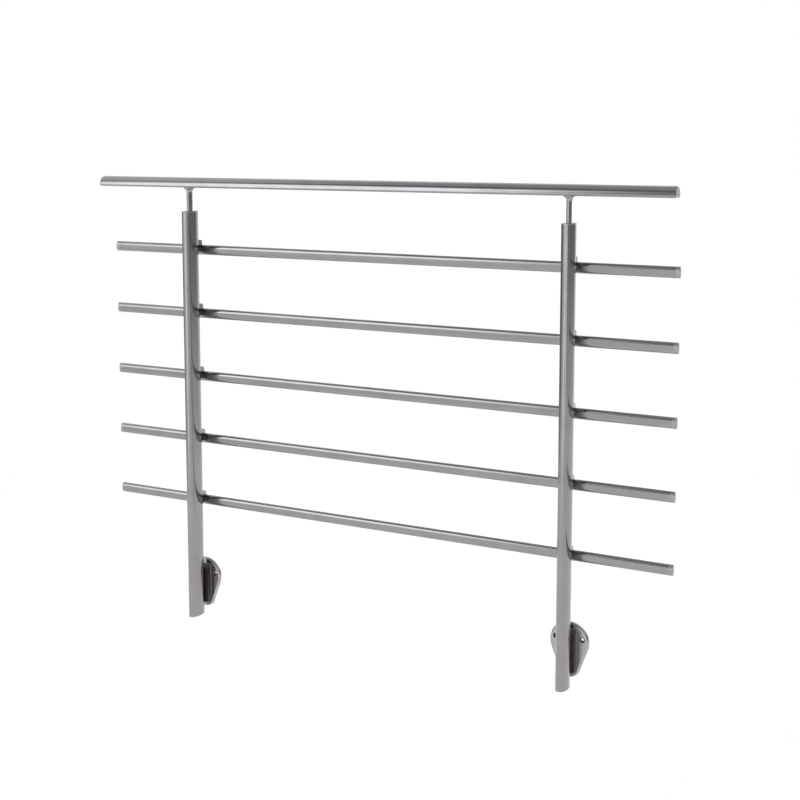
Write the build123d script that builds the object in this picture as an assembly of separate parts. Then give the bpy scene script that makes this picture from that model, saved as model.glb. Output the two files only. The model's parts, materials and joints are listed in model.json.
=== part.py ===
from build123d import *

import math
import os
from typing import Callable, NamedTuple

# Side-mounted aluminium railing: two oval posts on wall brackets carry five infill rails and a handrail.
# The origin is the middle of the left bracket's wall face. +X runs along the rails, +Y goes into the
# wall that the brackets are bolted to, and +Z is up. All sizes are in millimetres.

# Overall layout
POST_SPACING = 1000.0
RAIL_LENGTH = 1500.0
OVERHANG_LEFT = 266.0
RAIL_COUNT = 5
RAIL_PITCH = 162.5
TOP_RAIL_TO_POST_TOP = 100.0
TOP_RAIL_TO_HANDRAIL = 172.0
TOP_RAIL_TO_BRACKET_TOP = 805.0
TOP_RAIL_TO_POST_FOOT = 944.0

# Oval post extrusion
POST_WIDTH = 29.0
POST_DEPTH = 55.0
POST_WALL = 2.5
POST_CAP_THICKNESS = 3.0
POST_CAP_SPIGOT = 12.0

# Infill rail extrusion, a tall bar whose narrow flat faces end in long round crowns
RAIL_DEPTH = 13.0
RAIL_HEIGHT = 25.0
RAIL_CROWN = 9.0
RAIL_WALL = 1.6
RAIL_CAP_THICKNESS = 9.0
RAIL_CAP_ROUNDING = 1.2
RAIL_CAP_SPIGOT = 12.0

# Handrail extrusion, domed above and flat below
HANDRAIL_DEPTH = 40.0
HANDRAIL_HEIGHT = 25.0
HANDRAIL_EDGE = 4.5
HANDRAIL_WALL = 2.0
HANDRAIL_LENGTH = 1506.0
HANDRAIL_CAP_THICKNESS = 5.0
HANDRAIL_CAP_ROUNDING = 3.2
HANDRAIL_CAP_SPIGOT = 14.0

# Stem and saddle between post and handrail
STEM_WIDTH = 11.0
STEM_DEPTH = 20.0
STEM_SOCKET = 30.0
SADDLE_WIDTH = 23.0
SADDLE_DEPTH = 34.0
SADDLE_PAD = 2.0
SADDLE_FLARE = 10.0
SADDLE_SWEEP = math.radians(74.0)
SADDLE_STEPS = 5

# Cast rail holder between post and rail
RAIL_FRONT_GAP = 10.5
HOLDER_WIDTH = 13.0
HOLDER_ABOVE = 26.0
HOLDER_HOOK = 3.0
HOLDER_BELOW = RAIL_HEIGHT / 2 - RAIL_CROWN
HOLDER_ROUNDING = 7.0

# Cast wall bracket
PLATE_THICKNESS = 8.0
PLATE_TOP_RADIUS = 46.0
PLATE_FOOT_RADIUS = 26.0
PLATE_HEIGHT = 130.0
PLATE_EDGE_ROUNDING = 5.0
HOLE_SPACING = 62.0
HOLE_RADIUS = 3.5
HOLE_ABOVE_CENTRE = 9.0
COUNTERSINK_RADIUS = 6.5
NECK_LENGTH = 11.0
NECK_TOP_DROP = 14.0
NECK_FOOT_RISE = 9.0
NECK_WIDTH = 37.0
NECK_CORNER = 5.0
NECK_FLARE = 8.0
CRADLE_DEPTH = 3.0

# Places worked out from the sizes above
POST_Y = -(PLATE_THICKNESS + NECK_LENGTH + POST_DEPTH / 2)
RAIL_Y = POST_Y + POST_DEPTH / 2 + RAIL_FRONT_GAP + RAIL_DEPTH / 2
PLATE_CENTRE_DROP = TOP_RAIL_TO_BRACKET_TOP + PLATE_TOP_RADIUS
TOP_RAIL_Z = PLATE_CENTRE_DROP
RAIL_Z = [TOP_RAIL_Z - index * RAIL_PITCH for index in range(RAIL_COUNT)]
POST_TOP_Z = TOP_RAIL_Z + TOP_RAIL_TO_POST_TOP
POST_FOOT_Z = TOP_RAIL_Z - TOP_RAIL_TO_POST_FOOT
HANDRAIL_BASE_Z = TOP_RAIL_Z + TOP_RAIL_TO_HANDRAIL - HANDRAIL_HEIGHT / 2
RAIL_START_X = -OVERHANG_LEFT
HANDRAIL_START_X = RAIL_START_X - (HANDRAIL_LENGTH - RAIL_LENGTH) / 2
POSTS = {"left": 0.0, "right": POST_SPACING}


def oval(width, depth):
    """Ellipse of a post or stem in the XY plane."""
    return Ellipse(width / 2, depth / 2)


def upright(section, x, foot_z, top_z):
    """Extrusion of a level section between two heights on a post's axis."""
    return Pos(x, POST_Y, foot_z) * extrude(section, top_z - foot_z)


def along_rail(section, start_x, end_x, y, z):
    """Extrusion of a section, drawn with Y across and Z up, along +X."""
    plane = Plane(origin=(start_x, y, z), x_dir=(0, 1, 0), z_dir=(1, 0, 0))
    return extrude(plane * section, end_x - start_x)


def rail_section(inset=0.0):
    """Flat sides between two round crowns, drawn about its middle."""
    half_depth = RAIL_DEPTH / 2 - inset
    crown = RAIL_CROWN - inset
    flat = RAIL_HEIGHT - 2 * RAIL_CROWN
    crown_face = Ellipse(half_depth, crown)
    return Rectangle(2 * half_depth, flat) + Pos(0, flat / 2) * crown_face + Pos(0, -flat / 2) * crown_face


def handrail_section(inset=0.0):
    """Dome over a flat base with rounded lower edges, drawn up from its underside."""
    half_depth = HANDRAIL_DEPTH / 2 - inset
    rise = HANDRAIL_HEIGHT - HANDRAIL_EDGE - inset
    edge = HANDRAIL_EDGE - inset
    dome = Pos(0, HANDRAIL_EDGE) * Ellipse(half_depth, rise)
    dome -= Pos(0, HANDRAIL_EDGE - rise) * Rectangle(4 * half_depth, 2 * rise)
    base = Pos(0, HANDRAIL_EDGE - edge / 2) * Rectangle(2 * half_depth, edge)
    base = fillet(base.vertices().group_by(Axis.Y)[0], edge * 0.9)
    return base + dome


def make_post(x):
    """Hollow oval post between its two caps."""
    section = oval(POST_WIDTH, POST_DEPTH) - oval(POST_WIDTH - 2 * POST_WALL, POST_DEPTH - 2 * POST_WALL)
    return upright(section, x, POST_FOOT_Z + POST_CAP_THICKNESS, POST_TOP_Z - POST_CAP_THICKNESS)


def make_post_cap(x, face_z, inward):
    """Flush cap with a spigot that plugs the post. inward is +1 at the foot and -1 at the top."""
    lid_z = sorted((face_z, face_z + inward * POST_CAP_THICKNESS))
    plug_z = sorted((lid_z[1] if inward > 0 else lid_z[0], face_z + inward * POST_CAP_SPIGOT))
    inner = oval(POST_WIDTH - 2 * POST_WALL, POST_DEPTH - 2 * POST_WALL)
    cap = upright(oval(POST_WIDTH, POST_DEPTH), x, *lid_z) + upright(inner, x, *plug_z)
    if inward < 0:
        cap -= upright(oval(STEM_WIDTH, STEM_DEPTH), x, plug_z[0] - 1, lid_z[1] + 1)
    return cap


def make_stem(x):
    """Oval bar that is socketed in the post's top cap and ends where the saddle starts to flare."""
    top_z = HANDRAIL_BASE_Z - SADDLE_PAD - SADDLE_FLARE
    return upright(oval(STEM_WIDTH, STEM_DEPTH), x, POST_TOP_Z - STEM_SOCKET, top_z)


def make_saddle(x):
    """Flared head of the stem under the handrail, with a thin pad that takes the screws."""
    pad_z = HANDRAIL_BASE_Z - SADDLE_PAD
    profiles = []
    for step in range(SADDLE_STEPS + 1):
        angle = SADDLE_SWEEP * step / SADDLE_STEPS
        drop = 1 - math.sin(angle) / math.sin(SADDLE_SWEEP)
        swell = (1 - math.cos(angle)) / (1 - math.cos(SADDLE_SWEEP))
        width = STEM_WIDTH + (SADDLE_WIDTH - STEM_WIDTH) * swell
        depth = STEM_DEPTH + (SADDLE_DEPTH - STEM_DEPTH) * swell
        profiles.append(Pos(x, POST_Y, pad_z - SADDLE_FLARE * drop) * oval(width, depth))
    return loft(profiles) + upright(oval(SADDLE_WIDTH, SADDLE_DEPTH), x, pad_z, HANDRAIL_BASE_Z)


def make_holder(x, z):
    """Cast block that is hollowed for the post and hooks over the rail's near shoulder."""
    back_y = POST_Y + POST_DEPTH / 4
    hook_y = RAIL_Y - RAIL_DEPTH / 2 + HOLDER_HOOK
    block = Pos((back_y + hook_y) / 2, (HOLDER_ABOVE - HOLDER_BELOW) / 2) * Rectangle(
        hook_y - back_y, HOLDER_ABOVE + HOLDER_BELOW
    )
    top_corner = block.vertices().group_by(Axis.X)[-1].group_by(Axis.Y)[-1]
    plane = Plane(origin=(x - HOLDER_WIDTH / 2, 0, z), x_dir=(0, 1, 0), z_dir=(1, 0, 0))
    holder = extrude(plane * fillet(top_corner, HOLDER_ROUNDING), HOLDER_WIDTH)
    holder -= upright(oval(POST_WIDTH, POST_DEPTH), x, z - 2 * RAIL_HEIGHT, z + 2 * RAIL_HEIGHT)
    holder -= along_rail(rail_section(), x - HOLDER_WIDTH, x + HOLDER_WIDTH, RAIL_Y, z)
    return holder


def plate_section(inset=0.0):
    """Teardrop of the wall plate: the hull of two circles, drawn about the middle of the upper one."""
    drop = PLATE_HEIGHT - PLATE_TOP_RADIUS - PLATE_FOOT_RADIUS
    top = Circle(PLATE_TOP_RADIUS - inset)
    foot = Pos(0, -drop) * Circle(PLATE_FOOT_RADIUS - inset)
    return make_hull(top.edges() + foot.edges())


def wall_plane(x, y):
    """Plane that faces away from the wall at depth y, with its own Y up."""
    return Plane(origin=(x, y, 0), x_dir=(1, 0, 0), z_dir=(0, -1, 0))


def neck_section(spread):
    """Upright bar of the neck, drawn about the middle of the plate's upper arc."""
    top = PLATE_TOP_RADIUS - NECK_TOP_DROP - spread
    foot = PLATE_TOP_RADIUS - PLATE_HEIGHT + NECK_FOOT_RISE + spread
    return Pos(0, (top + foot) / 2) * RectangleRounded(NECK_WIDTH, top - foot, NECK_CORNER)


def make_bracket(x):
    """Cast wall bracket: teardrop plate, flared neck and a cradle for the back of the post."""
    plate = extrude(wall_plane(x, 0) * plate_section(), PLATE_THICKNESS)
    front_edges = plate.faces().sort_by(Axis.Y)[0].outer_wire().edges()
    plate = fillet(front_edges, PLATE_EDGE_ROUNDING)
    cradle_y = POST_Y + POST_DEPTH / 2 - CRADLE_DEPTH
    neck = loft(
        [
            wall_plane(x, -PLATE_THICKNESS / 4) * neck_section(0.0),
            wall_plane(x, -PLATE_THICKNESS) * neck_section(0.0),
            wall_plane(x, cradle_y) * neck_section(NECK_FLARE),
        ],
        ruled=True,
    )
    bracket = plate + neck
    bracket -= upright(oval(POST_WIDTH, POST_DEPTH), x, -PLATE_HEIGHT, PLATE_HEIGHT)
    sink_depth = COUNTERSINK_RADIUS - HOLE_RADIUS
    sink = Cone(COUNTERSINK_RADIUS, HOLE_RADIUS, sink_depth, align=(Align.CENTER, Align.CENTER, Align.MIN))
    for side in (-1, 1):
        hole_middle = (x + side * HOLE_SPACING / 2, -PLATE_THICKNESS, HOLE_ABOVE_CENTRE)
        into_wall = Plane(origin=hole_middle, x_dir=(1, 0, 0), z_dir=(0, 1, 0))
        bracket -= extrude(into_wall * Circle(HOLE_RADIUS), PLATE_THICKNESS)
        bracket -= into_wall * sink
    return bracket


class Bar(NamedTuple):
    """What a hollow bar with plugged ends is made to."""

    section: Callable
    wall: float
    length: float
    cap_thickness: float
    cap_rounding: float
    cap_spigot: float


HANDRAIL = Bar(
    handrail_section,
    HANDRAIL_WALL,
    HANDRAIL_LENGTH,
    HANDRAIL_CAP_THICKNESS,
    HANDRAIL_CAP_ROUNDING,
    HANDRAIL_CAP_SPIGOT,
)
INFILL_RAIL = Bar(
    rail_section,
    RAIL_WALL,
    RAIL_LENGTH,
    RAIL_CAP_THICKNESS,
    RAIL_CAP_ROUNDING,
    RAIL_CAP_SPIGOT,
)


def make_capped_bar(name, bar, start_x, y, z):
    """Hollow extrusion along +X with a plug at each end, as a dictionary of three nodes."""
    end_x = start_x + bar.length
    outer = bar.section()
    inner = bar.section(bar.wall)
    made = {name: along_rail(outer - inner, start_x + bar.cap_thickness, end_x - bar.cap_thickness, y, z)}
    for side, face_x, inward in (("left", start_x, 1), ("right", end_x, -1)):
        seat_x = face_x + inward * bar.cap_thickness
        lid = along_rail(outer, *sorted((face_x, seat_x)), y, z)
        rim = lid.faces().sort_by(Axis.X)[0 if inward > 0 else -1].outer_wire().edges()
        lid = fillet(rim, bar.cap_rounding)
        plug = along_rail(inner, *sorted((seat_x, seat_x + inward * bar.cap_spigot)), y, z)
        made[f"{name}_cap_{side}"] = lid + plug
    return made


nodes = make_capped_bar("handrail", HANDRAIL, HANDRAIL_START_X, POST_Y, HANDRAIL_BASE_Z)
for index, rail_z in enumerate(RAIL_Z, start=1):
    nodes |= make_capped_bar(f"infill_rail_{index}", INFILL_RAIL, RAIL_START_X, RAIL_Y, rail_z)
for side, post_x in POSTS.items():
    nodes[f"post_{side}"] = make_post(post_x)
    nodes[f"post_top_cap_{side}"] = make_post_cap(post_x, POST_TOP_Z, -1)
    nodes[f"post_foot_cap_{side}"] = make_post_cap(post_x, POST_FOOT_Z, 1)
    nodes[f"stem_{side}"] = make_stem(post_x)
    nodes[f"saddle_{side}"] = make_saddle(post_x)
    nodes[f"wall_bracket_{side}"] = make_bracket(post_x)
    for index, rail_z in enumerate(RAIL_Z, start=1):
        nodes[f"rail_holder_{side}_{index}"] = make_holder(post_x, rail_z)

os.makedirs("parts", exist_ok=True)
for name, shape in nodes.items():
    export_step(shape, f"parts/{name}.step")
print(len(nodes), "nodes")
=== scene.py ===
# %% [markdown]
# # A side-mounted aluminium railing
# This lesson dresses a finished construction: two oval posts, five infill rails, a domed handrail and two
# cast wall brackets. The shapes arrive from the frame and stay where they are. What is left to do here is
# what a product photographer and a finisher would do: light the metal, give every piece the surface that
# its making leaves on it, and drive in the small screws.

import json
import math

import bpy
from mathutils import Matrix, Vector

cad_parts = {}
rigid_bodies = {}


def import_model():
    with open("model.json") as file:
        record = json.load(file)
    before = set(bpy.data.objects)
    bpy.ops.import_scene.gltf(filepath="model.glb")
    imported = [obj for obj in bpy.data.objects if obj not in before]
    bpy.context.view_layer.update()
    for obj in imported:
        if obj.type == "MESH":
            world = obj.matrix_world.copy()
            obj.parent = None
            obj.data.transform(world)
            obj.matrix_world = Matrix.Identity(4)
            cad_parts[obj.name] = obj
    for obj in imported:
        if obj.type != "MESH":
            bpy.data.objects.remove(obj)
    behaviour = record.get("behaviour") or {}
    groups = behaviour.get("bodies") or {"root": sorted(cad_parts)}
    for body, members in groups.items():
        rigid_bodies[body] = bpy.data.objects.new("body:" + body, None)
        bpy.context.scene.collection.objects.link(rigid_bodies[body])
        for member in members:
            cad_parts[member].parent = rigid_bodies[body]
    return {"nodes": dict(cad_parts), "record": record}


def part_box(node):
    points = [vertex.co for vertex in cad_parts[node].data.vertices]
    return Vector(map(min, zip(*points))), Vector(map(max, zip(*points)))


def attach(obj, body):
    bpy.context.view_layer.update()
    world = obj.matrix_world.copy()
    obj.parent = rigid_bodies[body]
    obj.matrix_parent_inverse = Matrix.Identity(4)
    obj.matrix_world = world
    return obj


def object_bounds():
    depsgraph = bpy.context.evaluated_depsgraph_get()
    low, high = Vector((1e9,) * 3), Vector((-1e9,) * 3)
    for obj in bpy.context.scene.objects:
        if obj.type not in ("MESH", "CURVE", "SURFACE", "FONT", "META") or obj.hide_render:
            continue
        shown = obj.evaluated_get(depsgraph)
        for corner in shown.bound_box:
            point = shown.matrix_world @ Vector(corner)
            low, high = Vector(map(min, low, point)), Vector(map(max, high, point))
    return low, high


for thing in list(bpy.data.objects):
    bpy.data.objects.remove(thing)

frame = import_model()
nodes = frame["nodes"]
cad_low, cad_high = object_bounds()
print(len(nodes), "pieces, box", [round(size, 4) for size in cad_high - cad_low])

# %% [markdown]
# The photograph is taken from the right and from a little above the handrail, with a long lens. Blender
# describes a lens by its focal length over a 36 mm sensor. The image is 800 pixels wide, so a focal length
# in pixels becomes millimetres by the ratio of the two widths. The object sits low in its frame with its
# uprights nearly parallel, which a small lens shift gives without tipping the camera further down. A camera
# that isn't turned looks straight down, and a quarter turn makes it level.

# %% Camera
IMAGE_PIXELS = 800
SENSOR_MM = 36.0
FOCAL_PIXELS = 1300.0
CAMERA_PLACE = (1.9471, -2.7078, 1.1371)
CAMERA_LEVEL = 90
CAMERA_DIP = 6.301
CAMERA_TURN = 27.006
FRAMING_SHIFT = -0.15

lens = bpy.data.cameras.new("product_camera")
lens.sensor_width = SENSOR_MM
lens.lens = FOCAL_PIXELS * SENSOR_MM / IMAGE_PIXELS
lens.shift_y = FRAMING_SHIFT
camera = bpy.data.objects.new("product_camera", lens)
camera.location = CAMERA_PLACE
camera.rotation_euler = (math.radians(CAMERA_LEVEL - CAMERA_DIP), 0, math.radians(CAMERA_TURN))
bpy.context.collection.objects.link(camera)
bpy.context.scene.camera = camera
print("lens", round(lens.lens, 1), "mm")

# %% [markdown]
# Shader nodes are easier to read as sums than as boxes and wires. The class below stands for one output
# socket. Adding, subtracting, multiplying or dividing it adds a Math node to its tree, and the method
# `node` adds any other kind: its settings come first, because some settings change which sockets it has,
# and then the values or wires of its inputs. A Mix node has a pair of inputs for each kind of value, all
# with the same names, so its colour sockets are counted instead.

# %% A small language for shader nodes
MIX_COLOUR_A = 6
MIX_COLOUR_B = 7
MIX_COLOUR_RESULT = 2


class Wire:
    """One output socket of a node tree, which arithmetic turns into Math nodes."""

    def __init__(self, tree, socket=None):
        self.tree = tree
        self.socket = socket

    def node(self, kind, settings=None, inputs=None, output=0):
        """Adds a node to the tree; gives the wire of one of its outputs."""
        made = self.tree.nodes.new(kind)
        for name, value in (settings or {}).items():
            setattr(made, name, value)
        for name, value in (inputs or {}).items():
            if isinstance(value, Wire):
                self.tree.links.new(value.socket, made.inputs[name])
            else:
                made.inputs[name].default_value = value
        return Wire(self.tree, made.outputs[output] if made.outputs else None)

    def __getitem__(self, name):
        """Another output of the same node."""
        return Wire(self.tree, self.socket.node.outputs[name])

    def math(self, operation, *values):
        return self.node("ShaderNodeMath", {"operation": operation}, dict(enumerate(values)))

    def __add__(self, other):
        return self.math("ADD", self, other)

    def __sub__(self, other):
        return self.math("SUBTRACT", self, other)

    def __rsub__(self, other):
        return self.math("SUBTRACT", other, self)

    def __mul__(self, other):
        return self.math("MULTIPLY", self, other)

    def __truediv__(self, other):
        return self.math("DIVIDE", self, other)

    def __rtruediv__(self, other):
        return self.math("DIVIDE", other, self)

    __radd__ = __add__
    __rmul__ = __mul__

    def ramp(self, low, high, start=0.0, end=1.0):
        """Runs smoothly from start to end while this value goes from low to high."""
        settings = {"interpolation_type": "SMOOTHSTEP"}
        inputs = {"Value": self, "From Min": low, "From Max": high, "To Min": start, "To Max": end}
        return self.node("ShaderNodeMapRange", settings, inputs)

    def blend(self, low_colour, high_colour):
        """Goes from one colour to another as this value goes from 0 to 1."""
        inputs = {"Factor": self, MIX_COLOUR_A: low_colour, MIX_COLOUR_B: high_colour}
        return self.node("ShaderNodeMix", {"data_type": "RGBA"}, inputs, output=MIX_COLOUR_RESULT)

    def noise(self, scale, detail):
        """Noise between 0 and 1 at the place that this wire carries."""
        return self.node("ShaderNodeTexNoise", inputs={"Vector": self, "Scale": scale, "Detail": detail})


def new_tree(owner):
    """Empty node tree of a material or a world, as a wire with no socket yet."""
    owner.use_nodes = True
    owner.node_tree.nodes.clear()
    return Wire(owner.node_tree)


print("shader helper ready")

# %% [markdown]
# Polished metal has hardly any colour of its own: it shows the room. In the photograph every surface that
# leans back is dark, a narrow band that leans a little upward is bright, and every surface that faces the
# viewer or looks down is a middle grey. That is a white room with some studio equipment in it: a grey
# ceiling, three dark flags, a large window of light to the left of the camera and a weaker one in front.
#
# The world is that room, and a world has no places, only directions. So the first thing to know about a ray
# is how high it points and to which side, as two angles in degrees.

# %% Angles of a direction
bpy.context.scene.view_settings.view_transform = "Standard"
world = bpy.data.worlds.new("studio")
bpy.context.scene.world = world
studio = new_tree(world)
direction = studio.node("ShaderNodeTexCoord", output="Generated")
axes = studio.node("ShaderNodeSeparateXYZ", inputs={0: direction})
degrees = math.degrees(1)
elevation = studio.math("ARCSINE", axes["Z"]) * degrees
azimuth = studio.math("ARCTAN2", axes["X"], 0 - axes["Y"]) * degrees
print("azimuth is 0 towards the viewer's side and grows to the right")

# %% [markdown]
# The room is plain white for camera, glossy and transmission rays, so that the metal shows the same white
# background as the picture, and a little darker for the soft light that falls on the paper. The equipment
# is painted over it by direction, one soft-edged patch after another, because a photographer's flags and
# softboxes stand far enough away to look the same from every part of the railing. Only the camera doesn't
# see them, as it doesn't see a lamp. A patch is a brightness and four edges, left, right, bottom and top,
# and an edge is the pair of angles between which it fades.

# %% White room with its equipment
ROOM_LIGHT = 0.90
WHITE = (1, 1, 1, 1)
EQUIPMENT = {
    "ceiling": (0.60, None, None, (53, 60), None),
    "front flag": (0.295, (-60, -48), (70, 95), (1, 14), (53, 66)),
    "right flag": (0.30, (46, 80), (152, 166), (-15, -3), (10, 25)),
    "left flag": (0.28, (-166, -152), (-78, -60), (-22, -8), (5, 22)),
    "main window": (2.65, (-50, -40), (-25, -18), (-6, 6), (27, 41)),
    "front fill": (1.70, (-17, -5), (24, 54), (-22, -8), (2, 12)),
}


def patch_mask(left, right, bottom, top):
    """1 inside the four edges, 0 outside; an edge that is None is not there."""
    sides = (
        (azimuth, left, 0, 1),
        (azimuth, right, 1, 0),
        (elevation, bottom, 0, 1),
        (elevation, top, 1, 0),
    )
    mask = 1.0
    for angle, edge, before, beyond in sides:
        if edge:
            mask = mask * angle.ramp(*edge, start=before, end=beyond)
    return mask


def shows_background(shader):
    """1 for the rays that have to meet the white background: seen, mirrored or let through; else 0."""
    ray = shader.node("ShaderNodeLightPath")
    rays = ray["Is Camera Ray"] + ray["Is Glossy Ray"] + ray["Is Transmission Ray"]
    return shader.math("MINIMUM", rays, 1.0)


room = ROOM_LIGHT + shows_background(studio) * (1 - ROOM_LIGHT)
to_camera = studio.node("ShaderNodeLightPath", output="Is Camera Ray")
for brightness, *edges in EQUIPMENT.values():
    mask = patch_mask(*edges) * (1 - to_camera)
    room = mask * brightness + (1 - mask) * room

background = studio.node("ShaderNodeBackground", inputs={"Color": WHITE, "Strength": room})
studio.node("ShaderNodeOutputWorld", inputs={"Surface": background})
print("room painted with", len(world.node_tree.nodes), "nodes")

# %% [markdown]
# The floor is a round sheet of pale paper some way below the feet, because a railing like this hangs on the
# side of a landing. It glows a little for the same rays that meet the white background, so that picture and
# reflections are white down to the edge of the paper and only a breath of the shadow is left.

# %% Floor
FLOOR_DROP = 0.32
FLOOR_RADIUS = 3.0
FLOOR_SIDES = 96
PAPER_COLOUR = (0.86, 0.86, 0.86, 1)
PAPER_GLOW = 0.32

middle = (cad_low + cad_high) / 2
floor_z = cad_low.z - FLOOR_DROP
rim = []
for side in range(FLOOR_SIDES):
    turn = math.tau * side / FLOOR_SIDES
    x = middle.x + FLOOR_RADIUS * math.cos(turn)
    y = middle.y + FLOOR_RADIUS * math.sin(turn)
    rim.append((x, y, floor_z))
floor_mesh = bpy.data.meshes.new("paper_floor")
floor_mesh.from_pydata(rim, [], [range(FLOOR_SIDES)])
floor = bpy.data.objects.new("paper_floor", floor_mesh)
bpy.context.collection.objects.link(floor)

paper = bpy.data.materials.new("pale_paper")
sheet = new_tree(paper)
matte = sheet.node("ShaderNodeBsdfDiffuse", inputs={"Color": PAPER_COLOUR})
glow = sheet.node("ShaderNodeEmission", inputs={"Strength": shows_background(sheet) * PAPER_GLOW})
lit_paper = sheet.node("ShaderNodeAddShader", inputs={0: matte, 1: glow})
sheet.node("ShaderNodeOutputMaterial", inputs={"Surface": lit_paper})
floor_mesh.materials.append(paper)
print("floor at", round(floor_z, 3), "m")

# %% [markdown]
# Three lamps do the rest. The sun behind the diffuser fills everything evenly. A weak softbox above the
# near side of the floor keeps the paper bright in front, which the lower ends of the posts reflect. Both
# are hidden from glossy rays, which would show them as discs on every curved edge. A narrow strip light
# stands just right of the object, and there it is the reflection that is wanted: it draws a thin bright
# line down the right post.

# %% Lamps
SUN_STRENGTH = 0.55
SUN_ANGLE = 16.0
SUN_PLACE = Vector((-1.2, -1.6, 2.6))
SUN_AIM = Vector((0, 0, 0))
SOFTBOX_POWER = 12.0
SOFTBOX_SIZE = 1.4
SOFTBOX_PLACE = Vector((0.35, -2.2, 2.6))
SOFTBOX_AIM = Vector((0.35, -1.6, floor_z))
STRIP_SIZE = (0.05, 1.0)
STRIP_POWER = 0.36
STRIP_PLACE = Vector((1.66, -0.46, 0.80))
STRIP_AIM = Vector((1.0, -0.06, 0.80))


def add_lamp(name, kind, power, place, aim, glossy):
    """A lamp at a place that faces another place."""
    data = bpy.data.lights.new(name, kind)
    data.energy = power
    lamp = bpy.data.objects.new(name, data)
    lamp.location = place
    lamp.rotation_euler = (place - aim).to_track_quat("Z", "Y").to_euler()
    lamp.visible_glossy = glossy
    lamp.visible_camera = False
    bpy.context.collection.objects.link(lamp)
    print("lamp", name)
    return data


sun = add_lamp("diffused_sun", "SUN", SUN_STRENGTH, SUN_PLACE, SUN_AIM, glossy=False)
sun.angle = math.radians(SUN_ANGLE)
softbox = add_lamp("softbox", "AREA", SOFTBOX_POWER, SOFTBOX_PLACE, SOFTBOX_AIM, glossy=False)
softbox.shape = "DISK"
softbox.size = SOFTBOX_SIZE
strip = add_lamp("strip_light", "AREA", STRIP_POWER, STRIP_PLACE, STRIP_AIM, glossy=True)
strip.shape = "RECTANGLE"
strip.size, strip.size_y = STRIP_SIZE

# %% [markdown]
# All finishes of the railing are metal or look like it, and they begin and end alike. Each follows the
# place on the object, which Object coordinates give, and each ends in a colour, a gloss and a relief that
# is too fine to be modelled.

# %% What all finishes share
RELIEF_DEPTH = 0.0002


def start_finish(name):
    """An empty material, its node tree, and the wire of the place on the object."""
    material = bpy.data.materials.new(name)
    shader = new_tree(material)
    print("material", name)
    return material, shader, shader.node("ShaderNodeTexCoord", output="Object")


def close_finish(shader, base, roughness, height, strength, depth=RELIEF_DEPTH, metallic=1.0):
    """Ends a material with its colour, its gloss and the height of its relief."""
    relief = {"Height": height, "Strength": strength, "Distance": depth}
    surface = {
        "Base Color": base,
        "Metallic": metallic,
        "Roughness": roughness,
        "Normal": shader.node("ShaderNodeBump", inputs=relief),
    }
    metal = shader.node("ShaderNodeBsdfPrincipled", inputs=surface)
    shader.node("ShaderNodeOutputMaterial", inputs={"Surface": metal})


print("finish helpers ready")

# %% [markdown]
# The bars are drawn through a die and then anodised. The die leaves hair-fine lines along the bar, and the
# bath leaves a faint cloudiness. The lines are hardly a relief and the clouds hardly a colour: both mostly
# vary how sharp the reflection is. The lines are a noise stretched along the bar, for which a Mapping node
# squeezes the coordinate that runs along it.

# %% Drawn and anodised aluminium
ANODISED = (0.310, 0.301, 0.315, 1)
ANODISED_CLOUD = (0.288, 0.279, 0.292, 1)
LINE_SCALE = 1400.0
LINE_SQUEEZE = 0.006
LINE_STRENGTH = 0.10
CLOUD_SCALE = 14.0
CLOUD_EDGES = (0.35, 0.65)
DRAWN_ROUGHNESS = 0.11
LINE_ROUGHNESS = 0.05
CLOUD_ROUGHNESS = 0.03


def drawn_aluminium(name, along):
    """Anodised extrusion whose die lines run along one axis: 0 for X, 2 for Z."""
    material, shader, place = start_finish(name)
    squeeze = Vector((1, 1, 1))
    squeeze[along] = LINE_SQUEEZE
    lengthwise = shader.node("ShaderNodeMapping", inputs={"Vector": place, "Scale": squeeze})
    lines = lengthwise.noise(LINE_SCALE, detail=3.0)
    cloud = place.noise(CLOUD_SCALE, detail=4.0).ramp(*CLOUD_EDGES)
    base = cloud.blend(ANODISED, ANODISED_CLOUD)
    roughness = DRAWN_ROUGHNESS + lines * LINE_ROUGHNESS + cloud * CLOUD_ROUGHNESS
    close_finish(shader, base, roughness, height=lines, strength=LINE_STRENGTH)
    return material


rail_metal = drawn_aluminium("drawn_aluminium_level", along=0)
post_metal = drawn_aluminium("drawn_aluminium_upright", along=2)

# %% [markdown]
# Brackets, rail holders and saddles are cast and tumbled before they get the same colour. Their skin is a
# fine grain with a few softer swells, so they shine less than the bars. A dark colour is painted where the
# castings sit in shade: behind the posts, in the screw holes and on the rail holders up to the top of each
# rail. That is painted shade. On the saddles the same colour is the dark skin of the casting, in patches.
# Each kind of casting has its own such places, so the function below takes another one that masks them.

# %% Cast aluminium
CAST = (0.365, 0.351, 0.367, 1)
CAST_WORN = (0.410, 0.395, 0.412, 1)
# dark colour: painted shade on brackets and holders, and the dark casting skin on saddles
CAST_SKIN_AND_PAINTED_SHADE = (0.085, 0.070, 0.078, 1)
CAST_GRAIN_SCALE = 1800.0
SWELL_SCALE = 60.0
WORN_EDGES = (0.3, 0.7)
CAST_ROUGHNESS = 0.12
GRAIN_ROUGHNESS = 0.06
SWELL_ROUGHNESS = 0.05
SKIN_AND_SHADE_ROUGHNESS = 0.15
GRAIN_HEIGHT = 0.6
CAST_STRENGTH = 0.25


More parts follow.
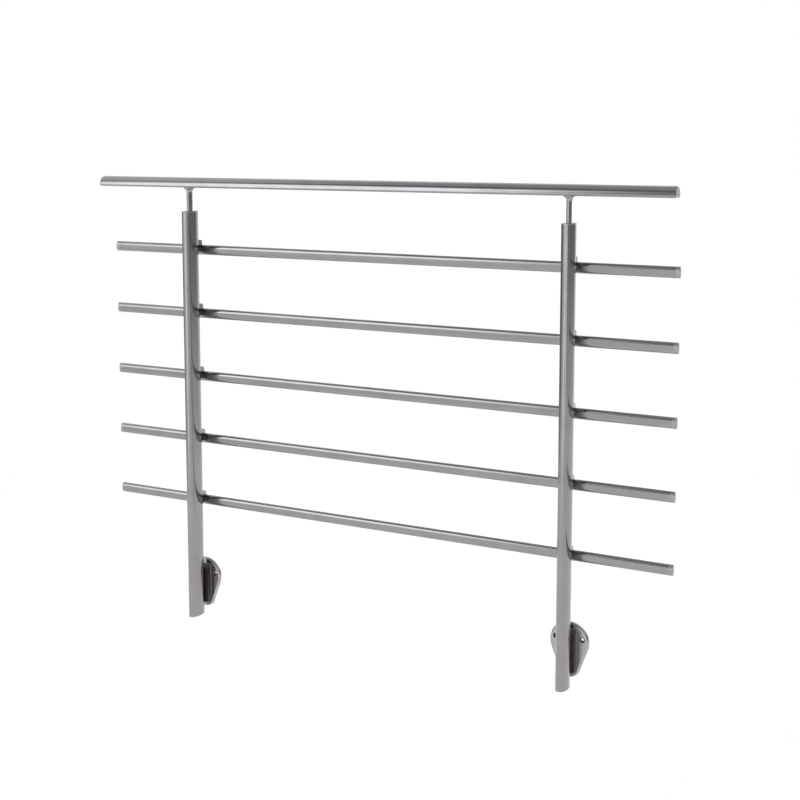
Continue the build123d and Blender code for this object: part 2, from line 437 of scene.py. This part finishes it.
def cast_aluminium(name, skin_and_shade):
    """Tumbled casting; the last argument gives from the place the mask of the dark colour: painted shade on
    brackets and holders, dark skin on saddles.
    """
    material, shader, place = start_finish(name)
    grain = place.noise(CAST_GRAIN_SCALE, detail=2.0)
    swells = place.noise(SWELL_SCALE, detail=3.0)
    # mask of the painted shade, and of the dark skin on the saddles
    dark = skin_and_shade(shader, place, swells)
    tumbled = swells.ramp(*WORN_EDGES).blend(CAST, CAST_WORN)
    roughness = CAST_ROUGHNESS + grain * GRAIN_ROUGHNESS + swells * SWELL_ROUGHNESS
    roughness = roughness + dark * SKIN_AND_SHADE_ROUGHNESS
    height = grain * GRAIN_HEIGHT + swells
    close_finish(shader, dark.blend(tumbled, CAST_SKIN_AND_PAINTED_SHADE), roughness, height, CAST_STRENGTH)
    return material


# the dark colour is painted shade on brackets and holders, and casting skin on saddles
print("dark skin has", round(CAST_SKIN_AND_PAINTED_SHADE[0] / CAST[0], 2), "of the clean metal's brightness")

# %% [markdown]
# The wall plate and its rim keep the clean colour. The deep corner between the plate and the post is
# painted dark as shade, and the screw holes a little less. A rail holder is painted dark as shade up to the
# top of the rail that it carries. A saddle keeps the dark skin of the casting in patches. Each mask is a
# ramp on a distance: from the wall, from a hole or from the top of a rail. A Math node set to WRAP folds a
# coordinate, so that one distance serves all holes, and another one all rails. The noise of the swells is
# added to a distance, so that the edge of the dark wanders.

# %% Where shade is painted, and where the dark skin stays
MM = 0.001
RAIL_NUMBERS = range(1, 6)
NOISE_MIDDLE = 0.5
PLATE_FACE_Y = -0.008
# edges of the painted shade on the neck, in the holes and on the holders
NECK_SHADE_EDGES = (0.0004, 0.0022)
NECK_WANDER = 0.002
SINK_RADIUS = 0.0065
SINK_BLUR = 1.05
HOLE_SHADE = 0.85
HOLDER_SHADE_EDGES = (-0.001, 0.002)
HOLDER_WANDER = 0.003
SADDLE_SKIN_EDGES = (0.50, 0.75)

hole_pattern = next(mount for mount in frame["record"]["mounts"] if mount["name"] == "wall_bolts_left")
hole_offset = hole_pattern["dims"]["spacing_x_mm"] * MM / 2
hole_z = hole_pattern["pos_m"][2]
post_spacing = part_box("post_right")[0].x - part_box("post_left")[0].x
rail_tops = [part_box(f"infill_rail_{number}")[1].z for number in RAIL_NUMBERS]
rail_pitch = rail_tops[0] - rail_tops[1]


def from_nearest(shader, distance, pitch):
    """Folds the distance from one thing in a row into the distance from the nearest of them."""
    return shader.math("WRAP", distance, pitch / 2, -pitch / 2)


def bracket_painted_shade(shader, place, swells):
    """Painted shade from the foot of the neck to the post, with an edge that wanders a little, and in the
    holes.
    """
    axes = shader.node("ShaderNodeSeparateXYZ", inputs={0: place})
    wander = (swells - NOISE_MIDDLE) * NECK_WANDER
    # painted shade in the deep corner between the plate and the post
    neck = (PLATE_FACE_Y - axes["Y"] + wander).ramp(*NECK_SHADE_EDGES)
    across = shader.math("ABSOLUTE", from_nearest(shader, axes["X"], post_spacing)) - hole_offset
    above = axes["Z"] - hole_z
    from_hole = shader.math("SQRT", across * across + above * above)
    # painted shade in the screw holes
    hole = from_hole.ramp(SINK_RADIUS, SINK_RADIUS * SINK_BLUR, start=HOLE_SHADE, end=0.0)
    return shader.math("MAXIMUM", neck, hole)


def holder_painted_shade(shader, place, swells):
    """Painted shade up to the top of the rail, and clean above it."""
    axes = shader.node("ShaderNodeSeparateXYZ", inputs={0: place})
    above_rail = from_nearest(shader, axes["Z"] - rail_tops[0], rail_pitch)
    wander = (swells - NOISE_MIDDLE) * HOLDER_WANDER
    # painted shade on the holder up to the top of its rail
    return (above_rail + wander).ramp(*HOLDER_SHADE_EDGES, start=1.0, end=0.0)


def saddle_skin(shader, place, swells):
    """Dark in patches that follow the swells."""
    return swells.ramp(*SADDLE_SKIN_EDGES)


bracket_metal = cast_aluminium("cast_bracket", bracket_painted_shade)
holder_metal = cast_aluminium("cast_rail_holder", holder_painted_shade)
saddle_metal = cast_aluminium("cast_saddle", saddle_skin)

# %% [markdown]
# The end plugs are moulded plastic with a coat of metallic lacquer, so that they match the bars. The lacquer
# holds fine metal flakes. It shows the same bands of light as the bar beside it, but softer, and the flakes
# make it a little lighter and grainier.

# %% Lacquered end caps
CAP_GREY = (0.315, 0.308, 0.320, 1)
CAP_GREY_LIGHT = (0.360, 0.352, 0.365, 1)
MOTTLE_SCALE = 220.0
MOTTLE_EDGES = (0.3, 0.7)
FLAKE_SCALE = 2600.0
LACQUER_METALLIC = 0.9
LACQUER_ROUGHNESS = 0.20
FLAKE_ROUGHNESS = 0.10
FLAKE_STRENGTH = 0.2
FLAKE_DEPTH = 0.0001


def lacquered_plastic(name):
    """Moulded plastic under a lacquer with metal flakes."""
    material, shader, place = start_finish(name)
    mottle = place.noise(MOTTLE_SCALE, detail=3.0)
    flakes = place.noise(FLAKE_SCALE, detail=2.0)
    base = mottle.ramp(*MOTTLE_EDGES).blend(CAP_GREY, CAP_GREY_LIGHT)
    roughness = LACQUER_ROUGHNESS + flakes * FLAKE_ROUGHNESS
    close_finish(shader, base, roughness, flakes, FLAKE_STRENGTH, FLAKE_DEPTH, LACQUER_METALLIC)
    return material


cap_plastic = lacquered_plastic("lacquered_end_cap")

# %% [markdown]
# Every piece now gets the finish of its kind, which the beginning of its name tells. The caps of the
# handrail are finished like the bar. All other caps are lacquered plugs, whatever they close.

# %% Each finish goes on its pieces
FINISHES = {
    "handrail": rail_metal,
    "infill_rail": rail_metal,
    "post": post_metal,
    "stem": post_metal,
    "wall_bracket": bracket_metal,
    "rail_holder": holder_metal,
    "saddle": saddle_metal,
}


def finish_of(name):
    """The material of the piece with this name."""
    if "_cap_" in name and not name.startswith("handrail"):
        return cap_plastic
    return next(finish for kind, finish in FINISHES.items() if name.startswith(kind))


for name, piece in nodes.items():
    for slot in piece.material_slots:
        slot.material = finish_of(name)
print("finished", len(nodes), "pieces")

# %% [markdown]
# What is left are the small screws. One goes through each rail holder into the post, with its head on the
# wall side just above the rail. Two in each saddle hold the handrail from below. One near the top of each
# post, again on the wall side, clamps the stem. All have the same low head with a hexagon socket, so one
# Geometry Nodes tree makes the screw, and a point with a facing direction stands for each place.
#
# The screw grows out of a cylinder, as it would on a lathe: its top face is raised and then scaled, again
# and again. Two narrow rings give the head a rounded edge: the first rises more than it runs in, and the
# second runs in more than it rises. The socket is the last ring. A ring of 24 points becomes a hexagon when
# each point is pulled in by a factor that depends on its angle, and a negative raise sinks it into the head.

# %% Shape of a screw
SCREW_SIDES = 24
SCREW_SIZES = {
    "Shank Radius": 0.0020,
    "Shank Length": 0.0060,
    "Head Radius": 0.0031,
    "Head Height": 0.0015,
    "Edge Rounding": 0.0005,
    "Socket Radius": 0.0015,
    "Socket Depth": 0.0013,
}
STEEP_SHARE = 0.7
FLAT_SHARE = 0.3
HALF_HEXAGON_SIDE = math.radians(30)


def raise_top(kit, shape, top, height, scale):
    """Raises the top face of a shape and scales it; gives the new shape and its top face."""
    lift = {"Mesh": shape, "Selection": top, "Offset Scale": height, "Individual": False}
    grown = kit.node("GeometryNodeExtrudeMesh", inputs=lift)
    spread = {0: grown, "Selection": grown["Top"], "Scale": scale}
    return kit.node("GeometryNodeScaleElements", inputs=spread), grown["Top"]


def hexagon_ring(kit, shape, ring):
    """Pulls a round ring of points in to a hexagon whose corners stay where they are."""
    place = kit.node("GeometryNodeInputPosition")
    axes = kit.node("ShaderNodeSeparateXYZ", inputs={0: place})
    angle = kit.math("ARCTAN2", axes["Y"], axes["X"])
    off_flat = kit.math("WRAP", angle, HALF_HEXAGON_SIDE, -HALF_HEXAGON_SIDE)
    factor = math.cos(HALF_HEXAGON_SIDE) / kit.math("COSINE", off_flat)
    pulled = {"X": axes["X"] * factor, "Y": axes["Y"] * factor, "Z": axes["Z"]}
    target = kit.node("ShaderNodeCombineXYZ", inputs=pulled)
    return kit.node("GeometryNodeSetPosition", inputs={0: shape, "Selection": ring, "Position": target})


def screw_shape(kit, given):
    """A screw whose head sits on the origin and whose shank goes down from it."""
    shank, head, socket = given["Shank Radius"], given["Head Radius"], given["Socket Radius"]
    rounding = given["Edge Rounding"]
    shoulder = head - rounding * FLAT_SHARE
    face = head - rounding

    bar = {"Vertices": SCREW_SIDES, "Radius": shank, "Depth": given["Shank Length"]}
    shape = kit.node("GeometryNodeMeshCylinder", inputs=bar)
    shape, top = raise_top(kit, shape, shape["Top"], 0.0, head / shank)
    shape, top = raise_top(kit, shape, top, given["Head Height"] - rounding, 1.0)
    shape, top = raise_top(kit, shape, top, rounding * STEEP_SHARE, shoulder / head)
    shape, top = raise_top(kit, shape, top, rounding * FLAT_SHARE, face / shoulder)
    shape, top = raise_top(kit, shape, top, 0.0, socket / face)
    shape = hexagon_ring(kit, shape, top)
    shape, top = raise_top(kit, shape, top, 0 - given["Socket Depth"], 1.0)
    drop = kit.node("ShaderNodeCombineXYZ", inputs={"Z": 0 - given["Shank Length"] / 2})
    return kit.node("GeometryNodeTransform", inputs={0: shape, "Translation": drop})


print("screw head", 2 * SCREW_SIZES["Head Radius"] * 1000, "mm wide")

# %% [markdown]
# A screw's axis points where its place faces, and nobody lines up the sockets, so each screw is also spun
# about its axis by chance. The seed makes that chance the same each time. The tree ends in real faces and
# a material, because the export drops instances.

# %% Geometry Nodes tree of the screws
SCREW_SEED = 7
RANDOM_NUMBER = 1


def screw_rotation(kit, given):
    """Turns a screw to where its point faces, and spins it about its own axis."""
    facing = kit.node("GeometryNodeInputNamedAttribute", {"data_type": "FLOAT_VECTOR"}, {"Name": "facing"})
    aimed = kit.node("FunctionNodeAlignRotationToVector", {"axis": "Z"}, {"Vector": facing})
    chance = {"Max": math.tau, "Seed": given["Seed"]}
    turn = kit.node("FunctionNodeRandomValue", inputs=chance, output=RANDOM_NUMBER)
    about_z = kit.node("ShaderNodeCombineXYZ", inputs={"Z": turn})
    spin = kit.node("FunctionNodeEulerToRotation", inputs={"Euler": about_z})
    placed = {"Rotation": aimed, "Rotate By": spin}
    return kit.node("FunctionNodeRotateRotation", {"rotation_space": "LOCAL"}, placed)


def make_screw_tree(metal):
    """Node tree that puts a socket screw on every point of a mesh."""
    tree = bpy.data.node_groups.new("socket_screws", "GeometryNodeTree")
    panel = tree.interface
    panel.new_socket("Geometry", in_out="INPUT", socket_type="NodeSocketGeometry")
    for name, size in SCREW_SIZES.items():
        panel.new_socket(name, in_out="INPUT", socket_type="NodeSocketFloat").default_value = size
    panel.new_socket("Seed", in_out="INPUT", socket_type="NodeSocketInt")
    panel.new_socket("Geometry", in_out="OUTPUT", socket_type="NodeSocketGeometry")

    kit = Wire(tree)
    given = kit.node("NodeGroupInput")
    copies = {"Points": given, "Instance": screw_shape(kit, given), "Rotation": screw_rotation(kit, given)}
    screws = kit.node("GeometryNodeInstanceOnPoints", inputs=copies)
    solid = kit.node("GeometryNodeRealizeInstances", inputs={0: screws})
    finished = kit.node("GeometryNodeSetMaterial", inputs={0: solid, "Material": metal})
    kit.node("NodeGroupOutput", inputs={0: finished})
    return tree


screw_metal = drawn_aluminium("turned_screw", along=2)
screw_tree = make_screw_tree(screw_metal)
print("screw tree has", len(screw_tree.nodes), "nodes")

# %% [markdown]
# The places come from the frame, so that the screws stay right when the railing is made to another size.
# The head of a holder's screw sits between the top of the rail and the rounded top of the holder. The
# screws of a saddle stand in its flare, on the long axis of the oval.

# %% Screw places
HOLDER_SCREW_ABOVE_RAIL = 0.0034
SADDLE_SCREW_SPREAD = 0.0135
SADDLE_SCREW_DROP = 0.0030
CLAMP_SCREW_BELOW_TOP = 0.0150
WALLWARD = (0, 1, 0)
DOWNWARD = (0, 0, -1)

screw_places = []
for side in ("left", "right"):
    post_low, post_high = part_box("post_" + side)
    axis = (post_low + post_high) / 2
    clamp_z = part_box("post_top_cap_" + side)[1].z - CLAMP_SCREW_BELOW_TOP
    screw_places.append(((axis.x, post_high.y, clamp_z), WALLWARD))
    saddle_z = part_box("saddle_" + side)[1].z - SADDLE_SCREW_DROP
    for spread in (-SADDLE_SCREW_SPREAD, SADDLE_SCREW_SPREAD):
        screw_places.append(((axis.x, axis.y + spread, saddle_z), DOWNWARD))
    for number, rail_top in zip(RAIL_NUMBERS, rail_tops):
        holder_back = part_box(f"rail_holder_{side}_{number}")[1].y
        screw_places.append(((axis.x, holder_back, rail_top + HOLDER_SCREW_ABOVE_RAIL), WALLWARD))
print(len(screw_places), "screw places")

# %% [markdown]
# The points carry their facing direction as an attribute, and a modifier grows the screws on them. The
# result is copied into a plain mesh, and points and modifier go. The heads are shaded smooth, but edges
# that are sharper than the given angle stay crisp.

# %% Make the screws
SHARP_ANGLE = 35

points = bpy.data.meshes.new("screw_places")
points.from_pydata([place for place, _ in screw_places], [], [])
facings = points.attributes.new("facing", "FLOAT_VECTOR", "POINT")
for item, (_, facing) in zip(facings.data, screw_places):
    item.vector = facing
carrier = bpy.data.objects.new("screw_places", points)
bpy.context.collection.objects.link(carrier)

modifier = carrier.modifiers.new("socket_screws", "NODES")
modifier.node_group = screw_tree
sockets = {item.name: item.identifier for item in screw_tree.interface.items_tree if item.in_out == "INPUT"}
for name, size in SCREW_SIZES.items():
    modifier[sockets[name]] = size
modifier[sockets["Seed"]] = SCREW_SEED

evaluated = carrier.evaluated_get(bpy.context.evaluated_depsgraph_get())
screw_mesh = bpy.data.meshes.new_from_object(evaluated)
carrier.modifiers.remove(modifier)
bpy.data.objects.remove(carrier)
screw_mesh.shade_smooth()
screw_mesh.set_sharp_from_angle(angle=math.radians(SHARP_ANGLE))
screws = bpy.data.objects.new("fixing_screws", screw_mesh)
bpy.context.collection.objects.link(screws)
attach(screws, "root")
print("screws have", len(screw_mesh.polygons), "faces")
